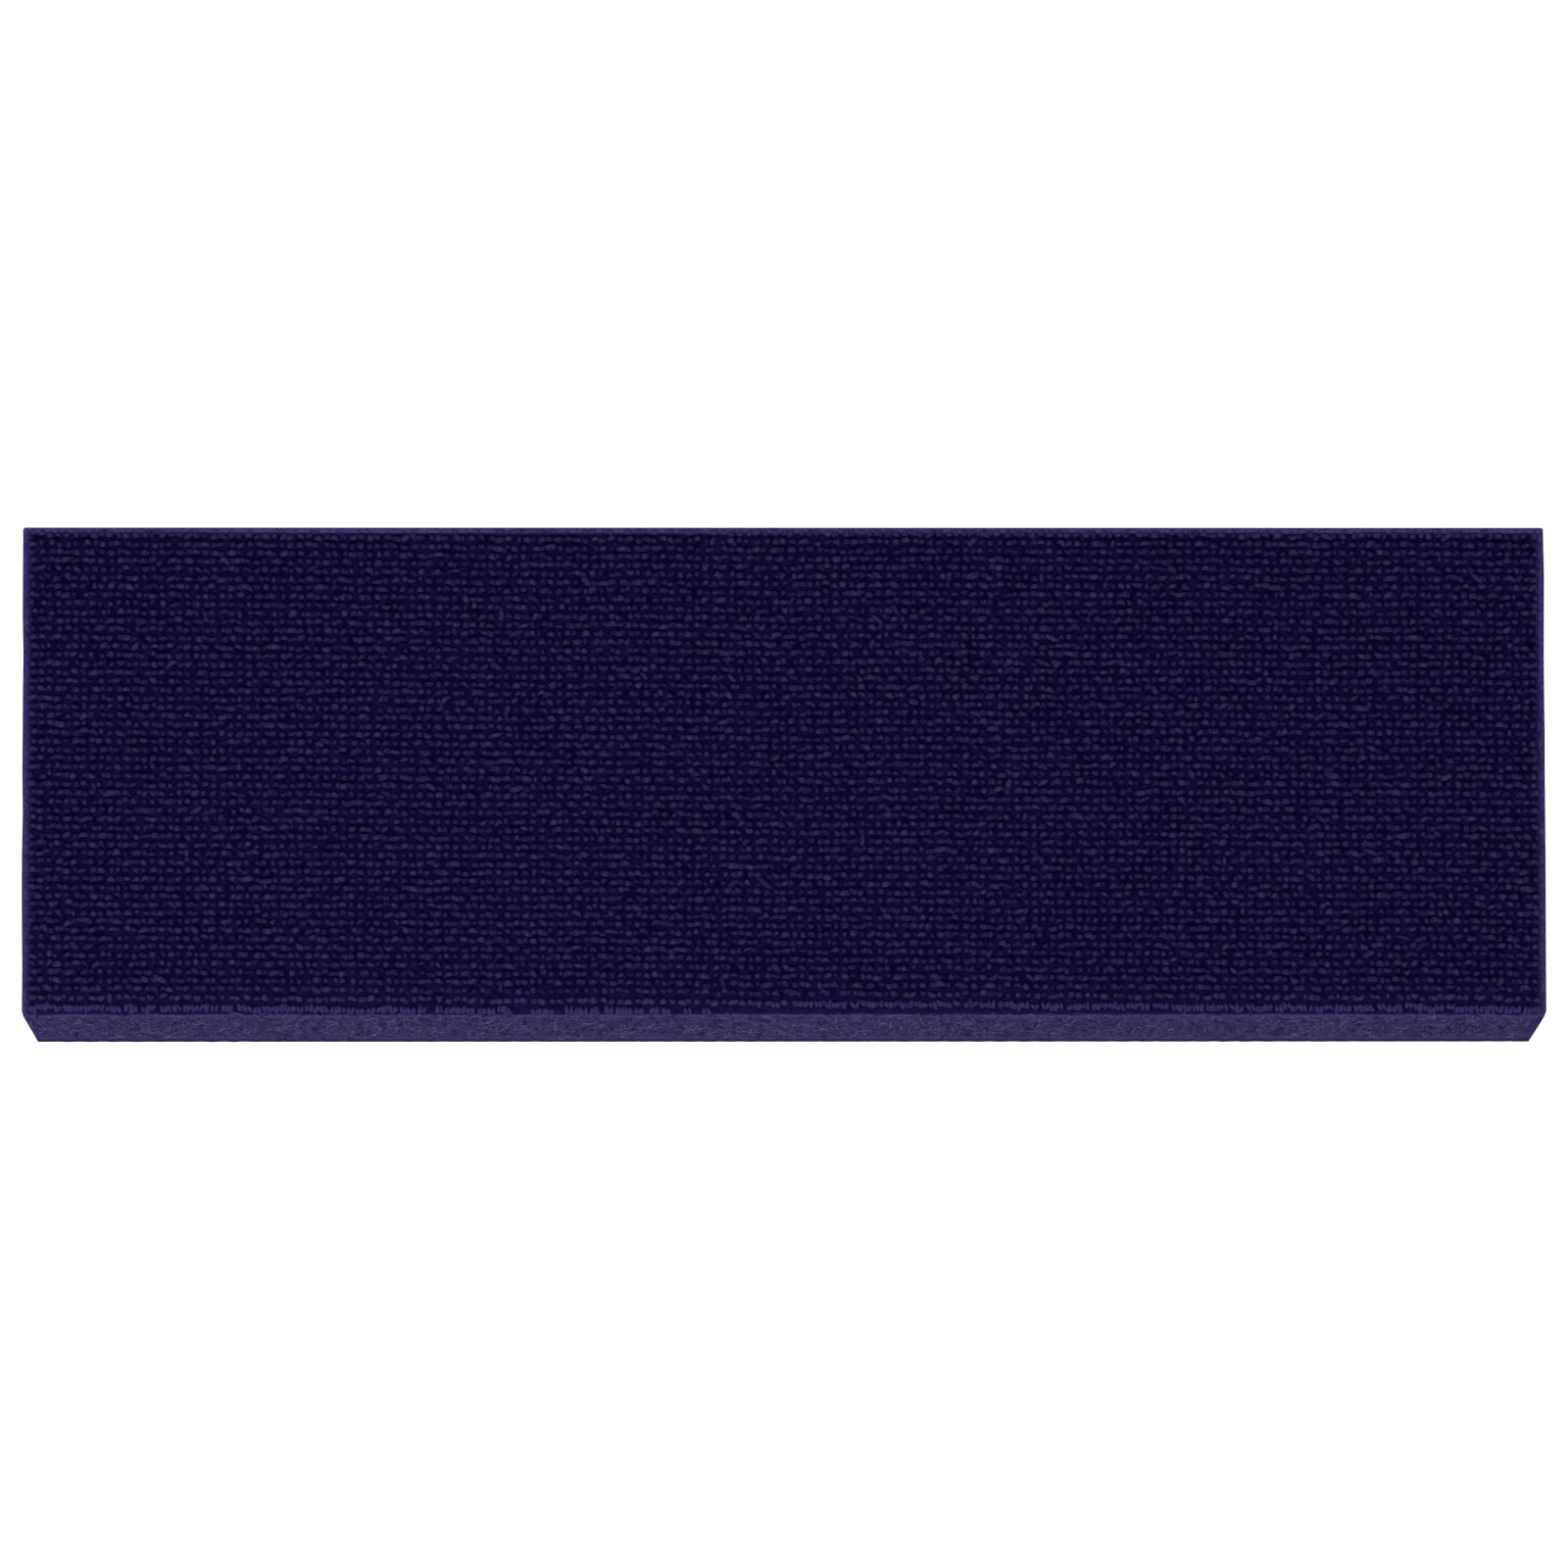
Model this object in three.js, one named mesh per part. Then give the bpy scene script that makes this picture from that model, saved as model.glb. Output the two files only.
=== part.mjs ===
// Anti slip stair tread mat: one moulded sheet of loop carpet. Its rows of loops run along the
// stair's edge inside a rim that is pressed bare, and its front is bent down into a nose flap.
// Millimetres, +Z up, the flap towards -Y. The mat lies on a level floor as it comes to rest,
// on the flap's lower edge and its rear edge, with the origin under the middle of its box.

import * as THREE from 'three';

// Sheet
const matWidth = 762; // along the stair's edge
const treadDepth = 245; // rear edge to the outside corner of the nose
const flapLength = 30.5; // outside corner of the nose to the flap's lower edge
const sheetThickness = 3.4; // without the loops
const noseAngle = 113; // degrees from the underside to the flap's inner face
const bendRadius = 1.5; // inside the nose

// Edges
const edgeHeight = 1.4; // upright foot of the cut edge
const edgeRound = 1.6; // width of the rounded shoulder above that foot
const cornerRadius = 1.3; // rear corners, seen from above
const flapEndTaper = 7.5; // how far in the slanted ends of the flap come
const flapEndStart = 2.2; // start of the bend to the start of the slant

// Rows of loops
const rimWidth = 3; // bare rim at the rear and the sides
const rowPitch = 4.31;
const rowHeight = 2.1; // above the bare sheet
const rowsPastBend = 2.9; // how far the last row goes round the nose
const rowEndRound = 1.6; // length of the rounded end of a row

// Fineness of the curves
const edgeSteps = 3;
const rowSteps = 4;
const rowEndSteps = 2;
const bendSteps = 5;
const lengthSteps = 2;
const leastStep = 0.01; // cross-sections nearer than this are one

// The bend turns the sheet by this angle. Lengths along the sheet are measured over its top.
const turn = THREE.MathUtils.degToRad(180 - noseAngle);
const outsideRadius = bendRadius + sheetThickness;
const cornerSetback = outsideRadius * Math.tan(turn / 2);
const bendStart = treadDepth - cornerSetback;
const bendEnd = bendStart + outsideRadius * turn;
const flapTip = bendEnd + flapLength - cornerSetback;
const half = matWidth / 2;

// The shoulder keeps inside the rim, and the rows fill what lies between rim and nose.
const shoulderWidth = Math.min(edgeRound, 0.9 * rimWidth);
const rowsEnd = bendStart + rowsPastBend;
const rowCount = Math.round((rowsEnd - rimWidth) / rowPitch);
const rowWidth = (rowsEnd - rimWidth) / rowCount;

// A point of the sheet, by its place along the sheet from the rear edge and its height above
// the underside: level as far as the bend, round the bend, then straight down the flap.
function sheetPoint(x, along, height) {
  const angle = THREE.MathUtils.clamp((along - bendStart) / outsideRadius, 0, turn);
  const level = Math.min(along, bendStart);
  const down = Math.max(along - bendEnd, 0);
  const radius = bendRadius + height;
  const forward = level + radius * Math.sin(angle) + down * Math.cos(angle);
  const up = radius * Math.cos(angle) - bendRadius - down * Math.sin(angle);
  return new THREE.Vector3(x, -forward, up);
}

// The part of a quarter round's height that is reached at a part of its width.
function quarterRound(part) {
  const left = 1 - THREE.MathUtils.clamp(part, 0, 1);
  return Math.sqrt(1 - left * left);
}

// Widths at which a quarter round is sampled, from its foot to its top.
function roundStations(width, steps) {
  const stations = [];
  for (let step = 0; step <= steps; step++) {
    stations.push(width * (1 - Math.cos((Math.PI * step) / steps / 2)));
  }
  return stations;
}

// Height of the bare sheet at a distance in from its cut edge.
function bareHeight(fromEdge) {
  return edgeHeight + (sheetThickness - edgeHeight) * quarterRound(fromEdge / shoulderWidth);
}

// How far forward the rear edge stands, at a distance in from the side: the corner is rounded.
function rearStart(inset) {
  const left = Math.max(cornerRadius - inset, 0);
  return cornerRadius - Math.sqrt(cornerRadius ** 2 - left ** 2);
}

// How far the flap reaches, at a distance in from the side: its ends are cut on a slant.
function flapReach(inset) {
  return THREE.MathUtils.lerp(bendStart + flapEndStart, flapTip, Math.min(inset / flapEndTaper, 1));
}

// Where a point of the full cross-section lies at this distance in from the side: the level
// part gives way to the rounded corner, and the bend to the slanted end of the flap.
function fitted(along, inset) {
  const rear = rearStart(inset);
  const room = (flapReach(inset) - shoulderWidth - bendStart) / (bendEnd - bendStart);
  if (along < bendStart) return rear + along * (1 - rear / bendStart);
  return bendStart + (along - bendStart) * Math.min(room, 1);
}

// Top line of a cross-section as [along, height] pairs, from the rear edge to the flap's tip:
// rear shoulder, one half round for each row of loops, bare part of the bend, flap.
function topLine(inset) {
  const rear = rearStart(inset);
  const tip = flapReach(inset);
  const sheet = bareHeight(inset);
  const rise = rowHeight * quarterRound((inset - rimWidth) / rowEndRound);
  const shoulder = roundStations(shoulderWidth, edgeSteps);
  const line = shoulder.map((width) => [rear + width, Math.min(sheet, bareHeight(width))]);
  for (let row = 0; row < rowCount; row++) {
    for (let step = 0; step < rowSteps; step++) {
      const angle = (Math.PI * step) / rowSteps;
      const along = rimWidth + rowWidth * (row + (1 - Math.cos(angle)) / 2);
      line.push([fitted(along, inset), sheet + rise * Math.sin(angle)]);
    }
  }
  for (let step = 0; step <= bendSteps; step++) {
    line.push([fitted(THREE.MathUtils.lerp(rowsEnd, bendEnd, step / bendSteps), inset), sheet]);
  }
  for (const width of shoulder.reverse()) {
    line.push([tip - width, Math.min(sheet, bareHeight(width))]);
  }
  return line;
}

// Underside line of the same cross-section, from the rear edge to the flap's tip.
function undersideLine(inset) {
  const line = [[rearStart(inset), 0]];
  for (let step = 0; step <= bendSteps; step++) {
    line.push([fitted(THREE.MathUtils.lerp(bendStart, bendEnd, step / bendSteps), inset), 0]);
  }
  line.push([flapReach(inset), 0]);
  return line;
}

// Distances in from the side at which the mat has a cross-section: the rounded shoulder, the
// rounded ends of the rows, the end of the flap's slant, then even steps to the middle.
function insets() {
  const stations = roundStations(shoulderWidth, edgeSteps);
  for (const width of roundStations(rowEndRound, rowEndSteps)) stations.push(rimWidth + width);
  for (let step = 0; step <= lengthSteps; step++) {
    stations.push(THREE.MathUtils.lerp(flapEndTaper, half, step / lengthSteps));
  }
  stations.sort((a, b) => a - b);
  return stations.filter((inset, i) => i === 0 || inset - stations[i - 1] > leastStep);
}

// Triangles of the end face in the ring that starts at this vertex, zipped between its top
// line and its underside line.
function endFace(first, ringCount) {
  const top = topLine(0);
  const under = undersideLine(0);
  const triangles = [];
  let i = 0;
  let j = 0;
  while (i + 1 < top.length || j + 1 < under.length) {
    const nextTop = i + 1 < top.length ? top[i + 1][0] : Infinity;
    const nextUnder = j + 1 < under.length ? under[j + 1][0] : Infinity;
    const foot = first + ringCount - 1 - j;
    if (nextTop <= nextUnder) {
      triangles.push(first + i, foot, first + i + 1);
      i++;
    } else {
      triangles.push(first + i, foot, foot - 1);
      j++;
    }
  }
  return triangles;
}

// Joins the cross-sections, from the left side to the right, into one closed body.
function sheetGeometry() {
  const left = insets().map((inset) => [inset - half, inset]);
  const right = left.slice(0, -1).reverse().map(([x, inset]) => [-x, inset]);
  const sides = [...left, ...right];
  const positions = [];
  const indices = [];
  for (const [x, inset] of sides) {
    const ring = [...topLine(inset), ...undersideLine(inset).reverse()];
    for (const [along, height] of ring) positions.push(...sheetPoint(x, along, height));
  }
  const ringCount = positions.length / 3 / sides.length;
  for (let side = 0; side + 1 < sides.length; side++) {
    for (let i = 0; i < ringCount; i++) {
      const a = side * ringCount + i;
      const b = side * ringCount + ((i + 1) % ringCount);
      indices.push(a, b, b + ringCount, a, b + ringCount, a + ringCount);
    }
  }
  const leftFace = endFace(0, ringCount);
  const rightFace = endFace((sides.length - 1) * ringCount, ringCount);
  indices.push(...leftFace, ...rightFace.reverse());
  const geometry = new THREE.BufferGeometry();
  geometry.setAttribute('position', new THREE.Float32BufferAttribute(positions, 3));
  geometry.setIndex(indices);
  geometry.computeVertexNormals();
  return geometry;
}

// Navy carpet
function carpetMaterial() {
  return new THREE.MeshStandardMaterial({ name: 'carpet', color: 0x231b4a, roughness: 0.95, metalness: 0 });
}

// The mat tips back about its rear edge until the flap's inner edge meets the floor.
const mat = new THREE.Mesh(sheetGeometry(), carpetMaterial());
mat.name = 'tread_mat';
const flapFoot = sheetPoint(0, flapTip, 0);
mat.rotation.x = -Math.atan2(-flapFoot.z, -flapFoot.y);
const resting = new THREE.Box3().setFromObject(mat, true);
mat.position.set(0, -(resting.min.y + resting.max.y) / 2, -resting.min.z);

const treadMat = new THREE.Group();
treadMat.add(mat);

export default treadMat;
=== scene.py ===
import math

import bpy
import numpy as np
from mathutils import Matrix, Vector


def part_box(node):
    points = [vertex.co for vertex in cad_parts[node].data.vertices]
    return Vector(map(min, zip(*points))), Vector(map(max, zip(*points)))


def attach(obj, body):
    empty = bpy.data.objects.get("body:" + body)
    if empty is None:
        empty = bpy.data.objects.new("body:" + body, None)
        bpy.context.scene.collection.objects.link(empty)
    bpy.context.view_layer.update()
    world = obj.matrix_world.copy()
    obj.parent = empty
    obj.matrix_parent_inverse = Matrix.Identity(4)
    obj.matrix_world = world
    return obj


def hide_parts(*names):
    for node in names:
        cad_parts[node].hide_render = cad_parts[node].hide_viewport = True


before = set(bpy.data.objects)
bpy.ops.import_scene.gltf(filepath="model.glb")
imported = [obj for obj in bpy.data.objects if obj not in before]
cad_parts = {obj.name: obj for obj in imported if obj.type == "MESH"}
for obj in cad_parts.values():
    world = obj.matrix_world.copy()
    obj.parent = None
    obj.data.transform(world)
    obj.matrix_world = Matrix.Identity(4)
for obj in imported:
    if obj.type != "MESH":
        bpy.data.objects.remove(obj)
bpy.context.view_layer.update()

mm = 0.001

# The mat's own sizes, the same as in the solid.
mat = {
    "width": 762 * mm,
    "treadDepth": 245 * mm,
    "flapLength": 30.5 * mm,
    "thickness": 3.4 * mm,
    "noseAngle": 113,
    "bendRadius": 1.5 * mm,
    "edgeHeight": 1.4 * mm,
    "edgeRound": 1.6 * mm,
    "cornerRadius": 1.3 * mm,
    "flapEndTaper": 7.5 * mm,
    "flapEndStart": 2.2 * mm,
    "rimWidth": 3 * mm,
    "rowPitch": 4.31 * mm,
    "rowHeight": 2.1 * mm,
    "rowsPastBend": 2.9 * mm,
}

half = mat["width"] / 2
turn = math.radians(180 - mat["noseAngle"])
outsideRadius = mat["bendRadius"] + mat["thickness"]
setback = outsideRadius * math.tan(turn / 2)
bendStart = mat["treadDepth"] - setback
bendEnd = bendStart + outsideRadius * turn
flapTip = bendEnd + mat["flapLength"] - setback
rowsEnd = bendStart + mat["rowsPastBend"]
rowCount = round((rowsEnd - mat["rimWidth"]) / mat["rowPitch"])
flapDrop = flapTip - bendEnd


def footOfFlap():
    # Forward and down from the rear edge to the flap's inner edge, before the mat tips back: the
    # level part, the sine and cosine of the bend's inside arc, then the flap's slope.
    forward = bendStart + mat["bendRadius"] * math.sin(turn) + flapDrop * math.cos(turn)
    down = mat["bendRadius"] * (1 - math.cos(turn)) + flapDrop * math.sin(turn)
    return forward, down


footForward, footDown = footOfFlap()
tilt = math.atan2(footDown, footForward)
# The underside's rear edge lies a little forward of the box, by the tilt of the upright cut.
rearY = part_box("tread_mat")[1][1] - mat["edgeHeight"] * math.sin(tilt)


def onSheet(x, along, height):
    # A point by its place along the sheet and its height above the underside: forward is
    # along as far as the bend, then the arc's radius times the sine of its angle, then the
    # flap's slope. The whole then turns back by the tilt about the rear edge.
    angle = np.clip((along - bendStart) / outsideRadius, 0, turn)
    past = np.maximum(along - bendEnd, 0)
    radius = mat["bendRadius"] + height
    forward = np.minimum(along, bendStart) + radius * np.sin(angle) + past * math.cos(turn)
    up = radius * np.cos(angle) - mat["bendRadius"] - past * math.sin(turn)
    y = rearY - forward * math.cos(tilt) + up * math.sin(tilt)
    z = forward * math.sin(tilt) + up * math.cos(tilt)
    return np.stack(np.broadcast_arrays(x, y, z), axis=-1)


def quarterRound(part):
    # Height over width of a quarter circle: the root of one less the square of what is left.
    return np.sqrt(1 - (1 - np.clip(part, 0, 1)) ** 2)


waves = {
    "perOctave": 5,
    "spread": (0.7, 1.3),
    "weight": 0.5,
}


def softNoise(rng, x, y, size, octaves=3):
    # Smooth noise, mostly from -1 to 1: a sum of sine waves in random directions and phases,
    # each octave half as long and half as strong as the last, over the sum of their weights.
    total = np.zeros(np.broadcast(x, y).shape)
    weight = 0
    for octave in range(octaves):
        for _ in range(waves["perOctave"]):
            heading, phase = rng.uniform(0, 2 * math.pi, 2)
            length = size / 2 ** octave * rng.uniform(*waves["spread"])
            wave = (x * math.cos(heading) + y * math.sin(heading)) / length * 2 * math.pi
            total += np.sin(wave + phase) / 2 ** octave
            weight += waves["weight"] / 2 ** octave
    return total / weight


def makeMesh(name, points, faces, attributes=None, materials=()):
    # faces is a list of whole-number arrays, one line for each face of that many corners.
    mesh = bpy.data.meshes.new(name)
    corners = np.concatenate([f.ravel() for f in faces]).astype(np.int32)
    sizes = np.concatenate([np.full(len(f), f.shape[1]) for f in faces]).astype(np.int32)
    starts = np.concatenate([[0], np.cumsum(sizes)[:-1]]).astype(np.int32)
    mesh.vertices.add(len(points))
    mesh.loops.add(len(corners))
    mesh.polygons.add(len(sizes))
    mesh.vertices.foreach_set("co", points.astype(np.float32).ravel())
    mesh.loops.foreach_set("vertex_index", corners)
    mesh.polygons.foreach_set("loop_start", starts)
    mesh.polygons.foreach_set("loop_total", sizes)
    for key, values in (attributes or {}).items():
        layer = mesh.attributes.new(key, "FLOAT", "POINT")
        layer.data.foreach_set("value", values.astype(np.float32))
    for material in materials:
        mesh.materials.append(material)
    mesh.update(calc_edges=True)
    mesh.validate()
    mesh.shade_smooth()
    made = bpy.data.objects.new(name, mesh)
    bpy.context.scene.collection.objects.link(made)
    return made


class Flow:
    # A socket of a material. Sums, products and powers of flows add Math nodes.
    def __init__(self, tree, socket=None):
        self.tree, self.socket = tree, socket

    def node(self, kind, settings=None, values=None, out=0):
        # Any node: its settings first, then the values or links of its sockets.
        made = self.tree.nodes.new("ShaderNode" + kind)
        for key, value in (settings or {}).items():
            setattr(made, key, value)
        for key, value in (values or {}).items():
            if isinstance(value, Flow):
                self.tree.links.new(value.socket, made.inputs[key])
            else:
                made.inputs[key].default_value = value
        return Flow(self.tree, made.outputs[out] if made.outputs else None)

    def math(self, operation, first, second, clamp=False):
        settings = {"operation": operation, "use_clamp": clamp}
        return self.node("Math", settings, {0: first, 1: second})

    def __add__(self, other):
        return self.math("ADD", self, other)

    def __radd__(self, other):
        return self.math("ADD", other, self)

    def __sub__(self, other):
        return self.math("SUBTRACT", self, other)

    def __rsub__(self, other):
        return self.math("SUBTRACT", other, self)

    def __mul__(self, other):
        return self.math("MULTIPLY", self, other)

    def __rmul__(self, other):
        return self.math("MULTIPLY", other, self)

    def __pow__(self, other):
        return self.math("POWER", self, other)

    def __rpow__(self, other):
        return self.math("POWER", other, self)

    def clamped(self):
        return self.math("ADD", self, 0.0, clamp=True)

    def mixed(self, first, second):
        # This flow's share of the second colour over the first.
        settings = {"data_type": "RGBA", "clamp_factor": True}
        return self.node("Mix", settings, {0: self, 6: first, 7: second}, out=2)


def colour(red, green, blue):
    # A colour written as on screen, 0 to 255, turned to the linear values of a shader by the
    # standard curve: a straight start, then a power of 2.4.
    def linear(value):
        share = value / 255
        return share / 12.92 if share <= 0.04045 else ((share + 0.055) / 1.055) ** 2.4
    return (linear(red), linear(green), linear(blue), 1)


cloth = {
    "roughness": 0.95,
    "gloss": 0.02,
    "sheen": 0.02,
    "sheenRoughness": 0.4,
    "sheenTint": colour(150, 140, 225),
}


def startMaterial(name):
    material = bpy.data.materials.new(name)
    material.use_nodes = True
    tree = material.node_tree
    tree.nodes.clear()
    return material, Flow(tree)


def attribute(flow, name):
    return flow.node("Attribute", {"attribute_name": name}, None, "Fac")


noiseMiddle = 0.5


def noise(flow, place, size, detail=2.0):
    # Values about the middle, in blots of this size.
    return flow.node("TexNoise", None, {"Vector": place, "Scale": 1 / size, "Detail": detail})


def finishMaterial(flow, baseColour, height, distance, roughness):
    # A plain cloth shader: colour and bump vary, the rest is even.
    bump = flow.node("Bump", None, {"Strength": 1.0, "Distance": distance, "Height": height})
    values = {"Base Color": baseColour, "Roughness": roughness, "Normal": bump,
              "Specular IOR Level": cloth["gloss"], "Sheen Weight": cloth["sheen"],
              "Sheen Roughness": cloth["sheenRoughness"], "Sheen Tint": cloth["sheenTint"]}
    shader = flow.node("BsdfPrincipled", None, values)
    flow.node("OutputMaterial", None, {"Surface": shader})


yarn = {
    # Painted shade: the colour at the loops' feet, where the gaps between them lie in shade.
    "footShade": colour(23, 14, 61),
    "grey": colour(53, 46, 82),
    "blue": colour(49, 42, 91),
    "fibreSize": 0.35 * mm,
    "fibreStretch": (0.35, 1.0, 1.0),
    "fleckSize": 1.9 * mm,
    "fleckStretch": (1.55, 0.75, 1.0),
    "fleck": 3.8,
    # rise: how steeply the painted shade at the feet gives way to the crest colour up the loop.
    "rise": 0.95,
    "toneGain": 1.3,
    "toneLeast": 0.18,
    "fibreShare": 0.2,
    "fibreBump": 0.12 * mm,
}


def yarnMaterial():
    # Deep blue at a loop's feet, a painted shade of the gaps between loops, and paler towards
    # its crest, with flecks of its fibres. Each loop has its own paleness, and leans to grey or to
    # blue.
    material, flow = startMaterial("navyYarn")
    place = flow.node("TexCoord", None, None, "Object")
    lift = attribute(flow, "lift")
    tone = attribute(flow, "tone")
    stretched = flow.node("Mapping", None, {"Vector": place, "Scale": yarn["fibreStretch"]})
    fibre = noise(flow, stretched, yarn["fibreSize"])
    upright = flow.node("Mapping", None, {"Vector": place, "Scale": yarn["fleckStretch"]})
    fleck = noise(flow, upright, yarn["fleckSize"])
    crest = attribute(flow, "hue").mixed(yarn["grey"], yarn["blue"])
    # Painted shade: by its lift the loop darkens towards its feet and is palest at its crest.
    paleness = lift ** yarn["rise"] * (tone * yarn["toneGain"] + yarn["toneLeast"])
    level = paleness * ((fleck - noiseMiddle) * yarn["fleck"] + 1)
    level = level + (fibre - noiseMiddle) * yarn["fibreShare"]
    loop = level.clamped().mixed(yarn["footShade"], crest)
    final = attribute(flow, "bare").mixed(loop, felt["rim"])
    finishMaterial(flow, final, fibre, yarn["fibreBump"], cloth["roughness"])
    return material


felt = {
    # Painted shade: pitShade and pile colour the ground under the loops, darkened for the shade
    # between them.
    "pitShade": colour(10, 4, 41),
    "pile": colour(23, 15, 64),
    "rim": colour(54, 45, 99),
    "flap": colour(51, 44, 88),
    "rimPale": colour(74, 64, 120),
    "pale": colour(68, 60, 104),
    "dark": colour(34, 27, 70),
    # Painted shade along the cut edge.
    "cut": colour(20, 14, 46),
    "bareSide": (1.5 * mm, 3.2 * mm),
    "bareRear": (2.2 * mm, 1.5 * mm),
    "bareNose": (0.12, 4.5 * mm),
    "noseStart": 0.4 * mm,
    "noseLine": 0.45 * mm,
    "pitSize": 2.8 * mm,
    "pitFrom": 0.35,
    "pitGain": 3.0,
    "clumpSize": 2.2 * mm,
    "clumpDetail": 3.0,
    "paleFrom": 0.53,
    "darkFrom": 0.45,
    "rimMottle": 4.2,
    "flapMottle": 2.4,
    "ledgeShare": 0.5,
    "cutMottle": 1.2,
    "cutLeast": 0.35,
    "grainSize": 0.5 * mm,
    "clumpBump": 0.5,
    "bump": 0.4 * mm,
    "fall": (1.0, 1.0, 0.4),
}


def feltMaterial():
    # Matted fibres: painted shade under the pile, with blots of deeper painted shade between the
    # loops, paler and mottled where the sheet is pressed bare, a painted highlight along its
    # ledges and the rear rim, and painted shade along the cut edge.
    material, flow = startMaterial("pressedFelt")
    place = flow.node("TexCoord", None, None, "Object")
    fallen = flow.node("Mapping", None, {"Vector": place, "Scale": felt["fall"]})
    clump = noise(flow, fallen, felt["clumpSize"], felt["clumpDetail"])
    grain = noise(flow, fallen, felt["grainSize"])
    onFlap = attribute(flow, "flap")
    field = onFlap.mixed(felt["rim"], felt["flap"])
    pale = onFlap.mixed(felt["rimPale"], felt["pale"])
    mottle = felt["rimMottle"] - onFlap * (felt["rimMottle"] - felt["flapMottle"])
    field = ((clump - felt["paleFrom"]) * mottle).clamped().mixed(field, pale)
    field = ((felt["darkFrom"] - clump) * mottle).clamped().mixed(field, felt["dark"])
    # Painted highlight along the ledges and on the rear rim.
    field = (attribute(flow, "ledgeHighlight") * felt["ledgeShare"]).mixed(field, pale)
    # Painted shade in blots under the pile, from pitShade to the shaded pile ground.
    pitShade = ((noise(flow, place, felt["pitSize"]) - felt["pitFrom"]) * felt["pitGain"]).clamped()
    ground = attribute(flow, "bare").mixed(pitShade.mixed(felt["pitShade"], felt["pile"]), field)
    # Painted shade along the cut edge, where the sheet turns down away from the light, broken up by
    # the clumps.
    cut = (attribute(flow, "edge") * (clump * felt["cutMottle"] + felt["cutLeast"])).clamped()
    final = cut.mixed(ground, felt["cut"])
    height = clump * felt["clumpBump"] + grain * (1 - felt["clumpBump"])
    finishMaterial(flow, final, height, felt["bump"], cloth["roughness"])
    return material


strand = {
    "low": colour(36, 29, 70),
    "high": colour(94, 86, 132),
    "flapCount": 4300,
    "flapLength": (4 * mm, 12 * mm),
    "flapHalfWidth": (0.26 * mm, 0.62 * mm),
    "downhill": 5.0,
    "rimCount": 2600,
    "rimLength": (2 * mm, 4.5 * mm),
    "rimHalfWidth": (0.18 * mm, 0.36 * mm),
    "rimDepth": (0.6 * mm, 3.4 * mm),
    "rimSway": 0.7,
    "halfHeight": 0.24 * mm,
    "lie": (-0.06 * mm, 0.16 * mm),
    "tip": 0.08,
    "curl": 2.0,
    "wave": 0.9,
    "tone": (0.34, 0.34),
    "grainShare": 0.6,
    "clumpShare": 1.2,
    "bump": 0.1 * mm,
    "overNose": 3.3 * mm,
    "tipMargin": 3.9 * mm,
    "sideMargin": 0.8 * mm,
    "rings": 6,
    "sides": 3,
    "seed": 11,
}


def strandMaterial():
    # Matted strands, each of its own paleness, with the felt's grain and clumps on top.
    material, flow = startMaterial("feltStrand")
    place = flow.node("TexCoord", None, None, "Object")
    grain = noise(flow, place, felt["grainSize"])
    clump = noise(flow, place, felt["clumpSize"])
    level = attribute(flow, "tone") + (grain - noiseMiddle) * strand["grainShare"]
    level = (level + (clump - noiseMiddle) * strand["clumpShare"]).clamped()
    final = level.mixed(strand["low"], strand["high"])
    finishMaterial(flow, final, grain, strand["bump"], cloth["roughness"])
    return material


grip = {
    "base": colour(32, 30, 38),
    "worn": colour(50, 48, 58),
    "pebbleSize": 2.4 * mm,
    "cloudScale": 30.0,
    "cloudDetail": 3.0,
    "wornFrom": 0.4,
    "wornGain": 2.0,
    "roughness": 0.7,
    "bump": 0.5 * mm,
}


def gripMaterial():
    # Rubbery underside with a fine pebble, worn paler in clouds.
    material, flow = startMaterial("gripBack")
    place = flow.node("TexCoord", None, None, "Object")
    pebble = flow.node("TexVoronoi", {"feature": "SMOOTH_F1"},
                       {"Vector": place, "Scale": 1 / grip["pebbleSize"]})
    cloud = flow.node("TexNoise", None,
                      {"Vector": place, "Scale": grip["cloudScale"], "Detail": grip["cloudDetail"]})
    worn = ((cloud - grip["wornFrom"]) * grip["wornGain"]).clamped()
    final = worn.mixed(grip["base"], grip["worn"])
    finishMaterial(flow, final, 1 - pebble, grip["bump"], grip["roughness"])
    return material


# The bare sheet

sheet = {
    "crossStep": 2.4 * mm,
    "shoulderSteps": 5,
    "slantSteps": 5,
    "rimSteps": 5,
    "pileSteps": 12,
    "noseSteps": 20,
    "flapSteps": 26,
    "edgeWobble": 0.25 * mm,
    "edgeWave": 60 * mm,
    "faceWobble": 0.18 * mm,
    "faceWave": 9 * mm,
    # Painted shade at the cut edge: how far in it reaches on the rim and the flap, its fade and
    # strength.
    "cutOnRim": 0.7 * mm,
    "cutOnFlap": 4.9 * mm,
    "cutFade": 0.55,
    "cutShare": (0.15, 0.8),
    # Painted highlight: a ledge near the flap's tip, one past the pile's last line, a band on the
    # rear rim.
    "ledgePlace": 5.6 * mm,
    "ledgeWidth": 1.4 * mm,
    "rearHighlight": 1.9 * mm,
    "rearGain": 1.6,
    "grooveDepth": 0.5 * mm,
    "grooveWidth": 0.8 * mm,
    "lineWobble": 0.45 * mm,
    "lineWave": 22 * mm,
    "flapFade": 2 * mm,
    "seed": 3,
}


def rearStart(inset):
    # The rounded corner: its radius less the root of the radius squared less what is left squared.
    left = np.maximum(mat["cornerRadius"] - inset, 0)
    return mat["cornerRadius"] - np.sqrt(mat["cornerRadius"] ** 2 - left ** 2)


def flapReach(inset):
    # Straight line from the start of the slant to the full flap over the taper.
    part = np.clip(inset / mat["flapEndTaper"], 0, 1)
    return (bendStart + mat["flapEndStart"]) * (1 - part) + flapTip * part


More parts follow.
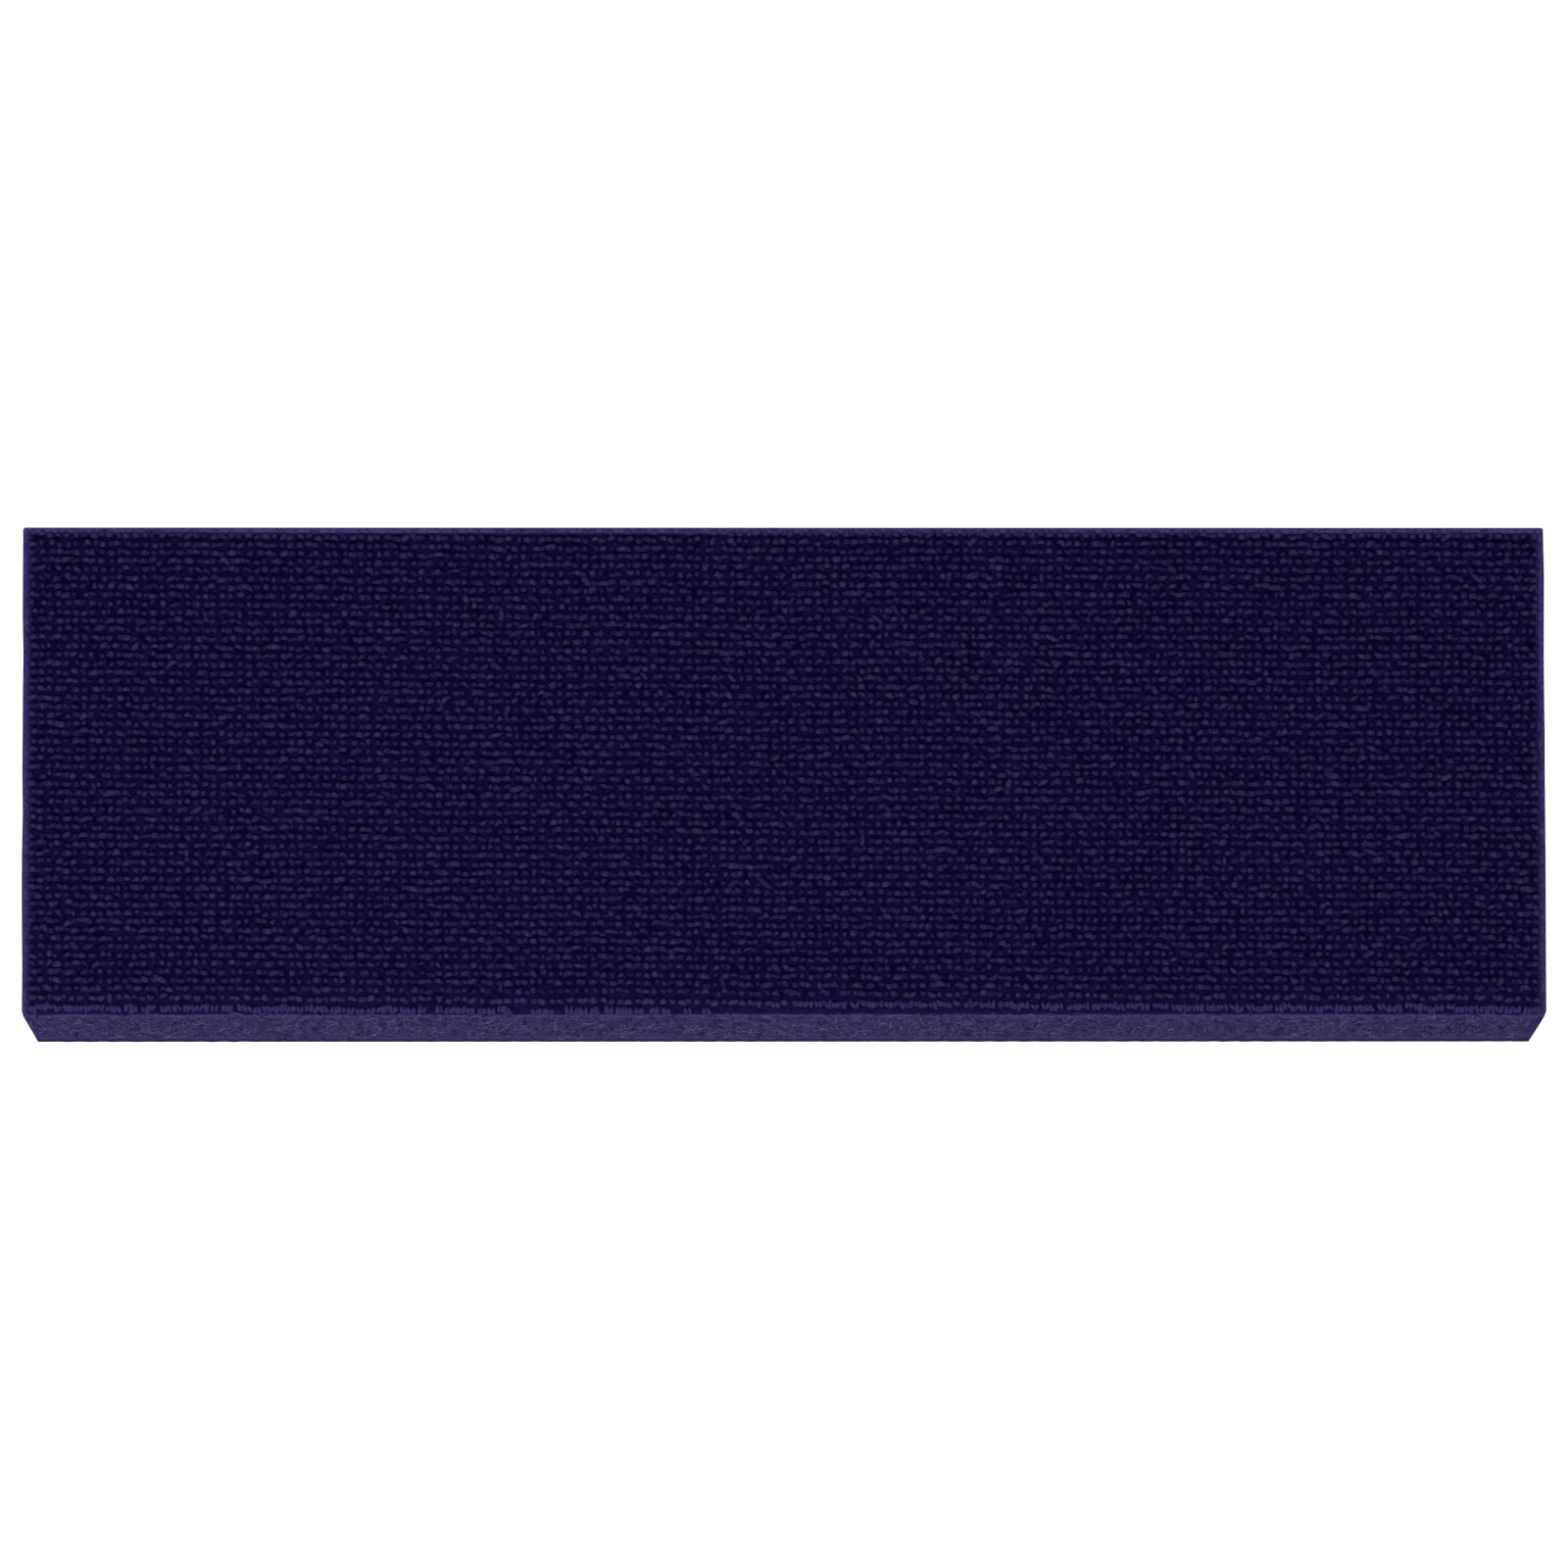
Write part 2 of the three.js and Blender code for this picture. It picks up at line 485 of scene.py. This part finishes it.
def fromCut(inset, along):
    # Distance in from the nearest cut edge: side, rear or the flap's tip.
    return np.minimum(np.minimum(inset, along - rearStart(inset)), flapReach(inset) - along)


def bareHeight(gap):
    # Height of the bare sheet: its foot, and a quarter round above it up to the full thickness.
    above = mat["thickness"] - mat["edgeHeight"]
    return mat["edgeHeight"] + above * quarterRound(gap / mat["edgeRound"])


def shoulderStations():
    # Parts of the shoulder's width, from its foot to its top: one less the cosine of even angles.
    steps = sheet["shoulderSteps"]
    return 1 - np.cos(np.arange(steps + 1) / steps * math.pi / 2)


def sheetStations():
    # Cross-sections: close together at the rounded sides and over the slant, then even.
    shoulder = mat["edgeRound"] * shoulderStations()
    slant = np.linspace(mat["edgeRound"], mat["flapEndTaper"], sheet["slantSteps"] + 1)
    side = np.concatenate([shoulder[:-1], slant[:-1]])
    inner = half - mat["flapEndTaper"]
    level = np.linspace(-inner, inner, round(2 * inner / sheet["crossStep"]) + 1)
    return np.concatenate([side - half, level, half - side[::-1]])


def sheetRows(inset):
    # Places along the sheet for every cross-section at once: rear shoulder and rim, pile
    # ground, bend and flap, and the shoulder at the flap's tip. Near the sides the level part
    # gives way to the rounded corner and the rest to the slanted end, each by a straight scale.
    edge = mat["edgeRound"]
    shoulder = edge * shoulderStations()
    rimEnd = sum(felt["bareRear"])
    rim = np.linspace(edge, rimEnd, sheet["rimSteps"] + 1)[1:]
    ground = np.linspace(rimEnd, bendStart, sheet["pileSteps"] + 1)[1:]
    nose = np.linspace(bendStart, bendEnd, sheet["noseSteps"] + 1)[1:]
    flapPart = np.linspace(bendEnd, flapTip - edge, sheet["flapSteps"] + 1)[1:]
    full = np.concatenate([shoulder, rim, ground, nose, flapPart, (flapTip - shoulder[::-1])[1:]])
    rear = rearStart(inset)
    tip = flapReach(inset)
    level = rear + full * (1 - rear / bendStart)
    squeeze = (tip - edge - bendStart) / (flapTip - edge - bendStart)
    front = bendStart + (full - bendStart) * squeeze
    cutEdge = tip - (flapTip - full)
    return np.where(full <= bendStart, level, np.where(full > flapTip - edge, cutEdge, front))


def bareShare(inset, along, nose):
    # How far the pile gives way to pressed felt: wholly along the sides and the rear, as far as
    # the first of two lengths, and fading in a straight line over the second. Towards the
    # nose it does so in part: nose holds that part and the length over which it fades.
    side = np.clip(1 - (inset - felt["bareSide"][0]) / felt["bareSide"][1], 0, 1)
    rear = np.clip(1 - (along - felt["bareRear"][0]) / felt["bareRear"][1], 0, 1)
    front = nose[0] * np.clip(1 - (rowsEnd - along) / nose[1], 0, 1)
    return np.maximum(np.maximum(side, rear), front)


def sheetFaces(count, size):
    # Faces between each ring of points and the next, then the left and the right end, each
    # zipped between its top line and its underside line.
    first = (np.arange(count - 1) * size)[:, None]
    i = np.arange(size)
    j = (i + 1) % size
    walls = np.stack([first + i, first + j, first + size + j, first + size + i], axis=-1)
    k = np.arange(size // 2 - 1)
    leftEnd = np.stack([k, size - 1 - k, size - 2 - k, k + 1], axis=-1)
    rightEnd = (leftEnd + (count - 1) * size)[:, ::-1]
    return [walls.reshape(-1, 4), leftEnd, rightEnd]


def sheetLooks(inset, along, line):
    # How far each point is bare, flap, painted shade at the cut edge and painted highlight along
    # the ledges and the rear rim: each rises or fades in a straight line with the distance from the
    # pile's last line, the cut edge or its own middle.
    onFlap = along > bendEnd
    pressed = np.clip((along - line) / felt["noseLine"], 0, 1)
    reach = np.where(onFlap, sheet["cutOnFlap"], sheet["cutOnRim"])
    # edge is painted shade, strongest at the cut edge.
    edge = np.clip((reach - fromCut(inset, along)) / (sheet["cutFade"] * reach), 0, 1)
    low = 1 - np.abs(flapReach(inset) - along - sheet["ledgePlace"]) / sheet["ledgeWidth"]
    high = 1 - np.abs(along - line - sheet["ledgeWidth"]) / sheet["ledgeWidth"]
    back = sheet["rearGain"] * (1 - np.abs(along - sheet["rearHighlight"]) / sheet["rearHighlight"])
    return {
        "bare": np.maximum(bareShare(inset, along, felt["bareNose"]), pressed),
        "flap": np.clip((along - line) / sheet["flapFade"], 0, 1),
        "edge": edge * np.where(onFlap, sheet["cutShare"][1], sheet["cutShare"][0]),
        "ledgeHighlight": np.maximum(np.clip(np.maximum(low, high), 0, 1), back),
    }


def makeSheet():
    # Each cross-section is a ring: over the top from the rear to the flap's tip, and back along
    # the underside. The top is the bare sheet's height with a little noise, less a groove where
    # the pile ends, and the cut sides waver by noise that fades over the rim.
    rng = np.random.default_rng(sheet["seed"])
    x = sheetStations()
    inset = (half - np.abs(x))[:, None]
    along = sheetRows(inset)
    across = np.broadcast_to(x[:, None], along.shape)
    fromEdge = fromCut(inset, along)
    wobble = sheet["faceWobble"] * softNoise(rng, across, along, sheet["faceWave"])
    bow = sheet["lineWobble"] * softNoise(rng, across, 0, sheet["lineWave"])
    waver = sheet["edgeWobble"] * softNoise(rng, across, along, sheet["edgeWave"])
    line = rowsEnd + felt["noseStart"] + bow
    groove = np.clip(1 - np.abs(along - line) / sheet["grooveWidth"], 0, 1)
    height = bareHeight(fromEdge) + wobble * np.clip(fromEdge / mat["edgeRound"], 0, 1)
    height = height - sheet["grooveDepth"] * groove
    waver = waver * np.clip(1 - fromEdge / mat["rimWidth"], 0, 1)
    outward = np.sign(across) * np.clip(1 - inset / mat["rimWidth"], 0, 1)
    top = onSheet(across + waver * outward, along, height)
    under = onSheet(across + waver * outward, along, 0)

    attributes = {key: np.concatenate([value, value[:, ::-1]], axis=1)
                  for key, value in sheetLooks(inset, along, line).items()}
    ring = np.concatenate([top, under[:, ::-1]], axis=1)
    count, size = ring.shape[:2]
    attributes["bare"][:, size // 2:] = 1
    faces = sheetFaces(count, size)
    made = makeMesh("matSheet", ring.reshape(-1, 3), faces,
                    {key: value.ravel() for key, value in attributes.items()},
                    [feltMaterial(), gripMaterial()])
    i = np.arange(size)
    slots = np.zeros(len(made.data.polygons), np.int32)
    slots[:len(faces[0])] = np.tile((i >= size // 2) & (i < size - 1), count - 1)
    made.data.polygons.foreach_set("material_index", slots)
    return made


# The rows of loops

pile = {
    "across": 4.3 * mm,
    "firstRow": 3.1 * mm,
    "spareRows": 2,
    "skew": 5.5 * mm,
    "bow": 0.9 * mm,
    "fromEdge": 1.9 * mm,
    "fromNose": 1.1 * mm,
    "length": (3.85 * mm, 0.75 * mm),
    "leastLength": 2.4 * mm,
    "longShare": 0.07,
    "longGain": 1.5,
    "halfWidth": (1.54 * mm, 0.2 * mm),
    "widthLimits": (0.9 * mm, 1.8 * mm),
    "endWidth": 0.66,
    "halfHeight": 0.95 * mm,
    "endHeight": 0.75,
    "archPower": 1.4,
    "crest": (0.95, 0.12),
    "crestLimits": (0.5, 1.25),
    "pressed": 0.5,
    "foot": 0.38,
    "lowShare": 0.04,
    "lowCrest": 0.55,
    "checkerLength": 0.08,
    "checkerCrest": 0.07,
    "checkerTone": 0.08,
    "yaw": 14,
    "strayShare": 0.05,
    "strayYaw": 45,
    "shift": 0.7 * mm,
    "rowShift": 0.36 * mm,
    "pastRim": 0.3 * mm,
    "endShare": 0.42,
    "curl": 0.5 * mm,
    "curlMiddle": 0.4,
    "waver": (0.3 * mm, 150 * mm),
    "waverStretch": 0.35,
    "tone": (0.3, 0.08),
    "liftLimit": 1.1,
    # Near the rim: partly pressed yarn, partly painted light. Over the nose: painted light.
    "rimLightAndPress": (0.12, 6 * mm),
    "noseLight": (0.85, 10 * mm),
    "bareGain": 0.85,
    "bareNose": (0.8, 9 * mm),
    "lastRow": 5.2 * mm,
    "tuftShift": 0.25,
    "tuftYaw": (90, 34),
    "tuftLength": (3.6 * mm, 0.5 * mm),
    "tuftHalfWidth": (1.3 * mm, 0.16 * mm),
    "tuftTone": 0.15,
    "drift": ((0, 0.2), (20, 0.4), (175, 0.4), (229, 1.5), (234, 1.7), (238, 1.5),
              (240, 0.7), (243.4, 0.4)),
    "rings": 6,
    "sides": 6,
    "pieces": 4,
    "seed": 7,
}


def tubeFaces(count, rings, sides):
    # Faces of closed tubes that follow one another in the points: walls, first ends, last ends.
    start = np.arange(count * rings).reshape(count, rings)[:, :-1, None] * sides
    i = np.arange(sides)
    j = (i + 1) % sides
    walls = np.stack([start + i, start + sides + i, start + sides + j, start + j], axis=-1)
    first = np.arange(count)[:, None] * rings * sides
    last = first + (rings - 1) * sides
    return [walls.reshape(-1, 4), first + i, (last + i)[:, ::-1]]


def placeLoops(rng, row, column, pitch):
    # The middle of each loop. The rows run a little askew to the mat's edges, in a straight
    # line with a bow that fades to the front and a slow waver. They crowd together before the
    # nose and stretch apart round it: drift holds how far back a row moves at each place, in mm.
    x = (column + 0.5) * pitch - half + mat["rimWidth"] + rng.normal(0, pile["shift"], row.shape)
    depth, size = pile["waver"]
    waver = depth * softNoise(rng, x, row * mat["rowPitch"] * pile["waverStretch"], size, octaves=2)
    askew = pile["skew"] * x / mat["width"] - pile["bow"] * (x / half) ** 2 * (1 - row / rowCount)
    level = pile["firstRow"] + row * mat["rowPitch"] + askew
    level = level - np.interp(level, *np.array(pile["drift"]).T * mm)
    return x, level + waver + rng.normal(0, pile["rowShift"], row.shape)


def layLoops(rng):
    # One entry for each loop of yarn: its middle, size, lean and paleness. Every second loop is
    # a little longer, taller and paler. Loops near the rim are paler still, partly for yarn pressed
    # flatter and partly as painted light on their unshaded outer side. Loops over the nose are
    # paler as painted light where the bend row catches the light. Each pales by a straight line
    # over the last few millimetres.
    columns = int((mat["width"] - 2 * mat["rimWidth"]) / pile["across"])
    pitch = (mat["width"] - 2 * mat["rimWidth"]) / columns
    rows = np.arange(-pile["spareRows"], rowCount + pile["spareRows"])
    row, column = np.meshgrid(rows, np.arange(columns), indexing="ij")
    shape = row.shape
    checker = np.where((row + column) % 2 == 0, 1, -1)
    x, along = placeLoops(rng, row, column, pitch)
    length = np.maximum(rng.normal(*pile["length"], shape), pile["leastLength"])
    length = length * (1 + pile["checkerLength"] * checker)
    length = length * np.where(rng.uniform(0, 1, shape) < pile["longShare"], pile["longGain"], 1)
    stray = rng.uniform(0, 1, shape) < pile["strayShare"]
    yaw = np.radians(rng.normal(0, np.where(stray, pile["strayYaw"], pile["yaw"])))
    crest = rng.normal(*pile["crest"], shape) + pile["checkerCrest"] * checker
    crest = np.where(rng.uniform(0, 1, shape) < pile["lowShare"], pile["lowCrest"], crest)
    tone = rng.normal(*pile["tone"], shape) + pile["checkerTone"] * checker
    inset = np.minimum(half - np.abs(x), along) - mat["rimWidth"]
    # Painted light: paler towards the rim, partly for pressed yarn, and paler over the nose.
    for (gain, size), gap in ((pile["rimLightAndPress"], inset), (pile["noseLight"], rowsEnd - along)):
        tone = tone + gain * np.clip(1 - gap / size, 0, 1)
    press = np.where(along < mat["rimWidth"], pile["pressed"], 1)
    inner = half - mat["rimWidth"] + pile["pastRim"] - length * pile["endShare"]
    kept = (along > pile["fromEdge"]) & (along < rowsEnd - pile["fromNose"])
    loops = {
        "x": np.clip(x, -inner, inner),
        "along": along,
        "length": length,
        "yaw": yaw,
        "curl": rng.normal(0, pile["curl"], shape),
        "crest": np.clip(crest, *pile["crestLimits"]),
        "press": press,
        "halfWidth": np.clip(rng.normal(*pile["halfWidth"], shape), *pile["widthLimits"]),
        "tone": np.clip(tone + 1 - press, 0, 1),
        "hue": rng.uniform(0, 1, shape),
    }
    return splitLastRow(rng, {key: value[kept] for key, value in loops.items()}, pitch)


def splitLastRow(rng, loops, pitch):
    # Over the nose each loop of the last row opens into two slim tufts, one to either side by a
    # share of the pitch, that point round the bend.
    last = loops["along"] > rowsEnd - pile["lastRow"]
    parts = [{key: value[~last] for key, value in loops.items()}]
    count = last.sum()
    for side in (-1, 1):
        tuft = {key: value[last] for key, value in loops.items()}
        tuft["x"] = tuft["x"] + side * pitch * pile["tuftShift"]
        tuft["yaw"] = np.radians(rng.normal(*pile["tuftYaw"], count))
        tuft["length"] = rng.normal(*pile["tuftLength"], count)
        tuft["halfWidth"] = rng.normal(*pile["tuftHalfWidth"], count)
        tuft["tone"] = np.clip(tuft["tone"] + rng.normal(0, pile["tuftTone"], count), 0, 1)
        parts.append(tuft)
    return {key: np.concatenate([part[key] for part in parts]) for key in loops}


def makePile(material):
    # A loop runs along t from -1 to 1. It turns by its yaw, bows by its curl times a part less t
    # squared, and rises from its feet to its crest as one less a power of t. Its width and
    # thickness grow by the same arch, and its section is an ellipse of few sides.
    rng = np.random.default_rng(pile["seed"])
    loops = layLoops(rng)
    each = {key: value[..., None] for key, value in loops.items()}
    t = np.linspace(-1, 1, pile["rings"])
    arch = 1 - np.abs(t) ** pile["archPower"]
    run = each["length"] / 2 * t
    middleX = each["x"] + run * np.cos(each["yaw"])
    middleAlong = each["along"] + run * np.sin(each["yaw"])
    middleAlong = middleAlong + each["curl"] * (pile["curlMiddle"] - t ** 2)
    radius = each["halfWidth"] * (pile["endWidth"] + (1 - pile["endWidth"]) * arch)
    thick = pile["halfHeight"] * (pile["endHeight"] + (1 - pile["endHeight"]) * arch)
    tall = mat["rowHeight"] * each["press"]
    rise = tall * (pile["foot"] + (each["crest"] - pile["foot"]) * arch)
    middleHeight = mat["thickness"] + rise - thick
    angle = np.arange(pile["sides"]) * 2 * math.pi / pile["sides"] + math.pi / 2
    wide = radius[..., None] * np.cos(angle)
    ringX = middleX[..., None] - np.sin(each["yaw"])[..., None] * wide
    ringAlong = middleAlong[..., None] + np.cos(each["yaw"])[..., None] * wide
    ringHeight = middleHeight[..., None] + thick[..., None] * np.sin(angle)
    points = onSheet(ringX, ringAlong, ringHeight)
    # lift, the share of a loop's height, sets the painted shade in the yarn's colour.
    lift = np.clip((ringHeight - mat["thickness"]) / tall[..., None], 0, pile["liftLimit"])
    bare = pile["bareGain"] * bareShare(half - np.abs(ringX), ringAlong, pile["bareNose"])

    made = []
    corners = pile["rings"] * pile["sides"]
    for part, some in enumerate(np.array_split(np.arange(len(loops["x"])), pile["pieces"])):
        attributes = {
            "lift": lift[some].ravel(),
            "tone": np.repeat(loops["tone"][some], corners),
            "hue": np.repeat(loops["hue"][some], corners),
            "bare": bare[some].ravel(),
        }
        faces = tubeFaces(len(some), pile["rings"], pile["sides"])
        own = points[some].reshape(-1, 3)
        made.append(makeMesh(f"pileRows{part + 1}", own, faces, attributes, [material]))
    return made


# The matted strands of the flap and the rim

def makeStrands(name, rng, start, length, halfWidth, allowed, material):
    # start holds each strand's place and heading. The heading turns by its curl over the
    # strand's length, with a sine wave on top, and its points are the running sum of equal steps
    # along that heading. Its width and height follow the root of a sine from tip to tip. A
    # strand that leaves the allowed ground is left out.
    x, along, heading = start
    count, rings, sides = len(x), strand["rings"], strand["sides"]
    curl = rng.normal(0, strand["curl"], count)
    wave = rng.normal(0, strand["wave"], count)
    t = np.linspace(0, 1, rings)
    bearing = heading[:, None] + curl[:, None] * t + wave[:, None] * np.sin(2 * math.pi * t)
    step = (rng.uniform(*length, count) / (rings - 1))[:, None]
    pathX = x[:, None] + np.cumsum(np.cos(bearing) * step, axis=1)
    pathAlong = along[:, None] + np.cumsum(np.sin(bearing) * step, axis=1)
    inside = allowed(half - np.abs(pathX), pathAlong).all(axis=1)
    pathX, pathAlong, bearing = pathX[inside], pathAlong[inside], bearing[inside]
    kept = len(pathX)
    tone = np.clip(rng.normal(*strand["tone"], kept), 0, 1)
    body = np.sqrt(np.sin(math.pi * (strand["tip"] + (1 - 2 * strand["tip"]) * t)))[None, :]
    lie = bareHeight(fromCut(half - np.abs(pathX), pathAlong))
    lie = lie + rng.uniform(*strand["lie"], kept)[:, None] * body
    angle = np.arange(sides) * 2 * math.pi / sides + math.pi / 2
    wide = (rng.uniform(*halfWidth, kept)[:, None] * body)[..., None] * np.cos(angle)
    ringX = pathX[..., None] - np.sin(bearing)[..., None] * wide
    ringAlong = pathAlong[..., None] + np.cos(bearing)[..., None] * wide
    ringHeight = lie[..., None] + strand["halfHeight"] * body[..., None] * np.sin(angle)
    points = onSheet(ringX, ringAlong, ringHeight)
    faces = tubeFaces(kept, rings, sides)
    attributes = {"tone": np.repeat(tone, rings * sides)}
    return makeMesh(name, points.reshape(-1, 3), faces, attributes, [material])


def makeFlapStrands(material):
    # Strands that lie every way on the flap, as far as the line where the pile begins. More of
    # them run up and down it than along it.
    rng = np.random.default_rng(strand["seed"])
    count = strand["flapCount"]
    top = bendEnd - strand["overNose"]
    turned = rng.uniform(0, 2 * math.pi, count)
    start = (rng.uniform(-half, half, count), rng.uniform(top, flapTip, count),
             np.arctan2(strand["downhill"] * np.sin(turned), np.cos(turned)))

    def onFlap(inset, along):
        low = along < flapReach(inset) - strand["tipMargin"]
        return (along > top) & low & (inset > strand["sideMargin"])

    return makeStrands("flapStrands", rng, start, strand["flapLength"], strand["flapHalfWidth"],
                       onFlap, material)


def makeRimStrands(material):
    # Short strands that lie along the rim, spread over its length down both sides and the rear.
    rng = np.random.default_rng(strand["seed"] + 1)
    count = strand["rimCount"]
    run = rng.uniform(0, mat["width"] + 2 * bendStart, count)
    depth = rng.uniform(*strand["rimDepth"], count)
    atRear = run < mat["width"]
    side = np.where(run < mat["width"] + bendStart, -1, 1)
    x = np.where(atRear, run - half, side * (half - depth))
    along = np.where(atRear, depth, (run - mat["width"]) % bendStart)
    heading = np.where(atRear, 0, math.pi / 2) + rng.normal(0, strand["rimSway"], count)

    def onRim(inset, along):
        gap = fromCut(inset, along)
        return (gap > strand["rimDepth"][0]) & (gap < strand["rimDepth"][1]) & (along < bendStart)

    return makeStrands("rimStrands", rng, (x, along, heading), strand["rimLength"],
                       strand["rimHalfWidth"], onRim, material)


# Floor, light and camera

studio = {
    "floorSize": 8.0,
    "floorPaint": (0.8, 0.8, 0.8, 1),
    "cameraPlace": (-145 * mm, 10 * mm, 8190 * mm),
    "cameraAim": (-0.04 * mm, 0.4 * mm, 10 * mm),
    "lens": 375.2,
    "farthest": 50,
    "worldLight": 0.64,
    "keyPower": 40.0,
    "keyPlace": (-0.8, -1.2, 2.4),
    "keySize": 1.5,
    "floorGlow": 0.72,
}


def floorMaterial():
    # A pale floor that is brightened to white for the camera alone, so that it keeps the shadow.
    material, flow = startMaterial("paleFloor")
    seen = flow.node("LightPath", None, None, "Is Camera Ray")
    paint = flow.node("BsdfDiffuse", None, {"Color": studio["floorPaint"]})
    strength = seen * studio["floorGlow"]
    glow = flow.node("Emission", None, {"Color": (1, 1, 1, 1), "Strength": strength})
    both = flow.node("AddShader", None, {0: paint, 1: glow})
    flow.node("OutputMaterial", None, {"Surface": both})
    return material


def makeFloor():
    size = studio["floorSize"] / 2
    corners = np.array([[-size, -size, 0], [size, -size, 0], [size, size, 0], [-size, size, 0]])
    floor = makeMesh("studioFloor", corners, [np.array([[0, 1, 2, 3]])], None, [floorMaterial()])


def aim(thing, place, target):
    # Stands a lamp or camera at its place, facing its target, with +Y up in its view: its axes
    # are the cross products of +Y and the way back from the target.
    away = (Vector(place) - Vector(target)).normalized()
    right = Vector((0, 1, 0)).cross(away).normalized()
    turned = Matrix((right, away.cross(right), away)).transposed().to_4x4()
    thing.matrix_world = Matrix.Translation(place) @ turned
    bpy.context.scene.collection.objects.link(thing)


def makeLight():
    # White all round, dimmer for the mat than for the camera, and one broad lamp at front left.
    world = bpy.data.worlds.new("studioWorld")
    world.use_nodes = True
    world.node_tree.nodes.clear()
    flow = Flow(world.node_tree)
    seen = flow.node("LightPath", None, None, "Is Camera Ray")
    strength = seen * (1 - studio["worldLight"]) + studio["worldLight"]
    back = flow.node("Background", None, {"Color": (1, 1, 1, 1), "Strength": strength})
    flow.node("OutputWorld", None, {"Surface": back})
    bpy.context.scene.world = world
    key = bpy.data.lights.new("keyLight", "AREA")
    key.energy = studio["keyPower"]
    key.size = studio["keySize"]
    lamp = bpy.data.objects.new("keyLight", key)
    aim(lamp, studio["keyPlace"], (0, 0, 0))


def makeCamera():
    lens = bpy.data.cameras.new("aboveCamera")
    lens.lens = studio["lens"]
    lens.clip_end = studio["farthest"]
    camera = bpy.data.objects.new("aboveCamera", lens)
    aim(camera, studio["cameraPlace"], studio["cameraAim"])
    bpy.context.scene.camera = camera


makeFloor()
makeLight()
makeCamera()
print("stage ready")

matSheet = makeSheet()
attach(matSheet, "root")
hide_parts("tread_mat")
print("sheet ready")

pileRows = makePile(yarnMaterial())
for block in pileRows:
    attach(block, "root")
print("rows of loops ready")

strands = strandMaterial()
flapStrands = makeFlapStrands(strands)
rimStrands = makeRimStrands(strands)
for block in (flapStrands, rimStrands):
    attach(block, "root")
print("strands of flap and rim ready")

for piece in (matSheet, *pileRows, flapStrands, rimStrands):
    print(piece.name, "triangles", sum(len(face.vertices) - 2 for face in piece.data.polygons))

bpy.context.scene.view_settings.view_transform = "Standard"
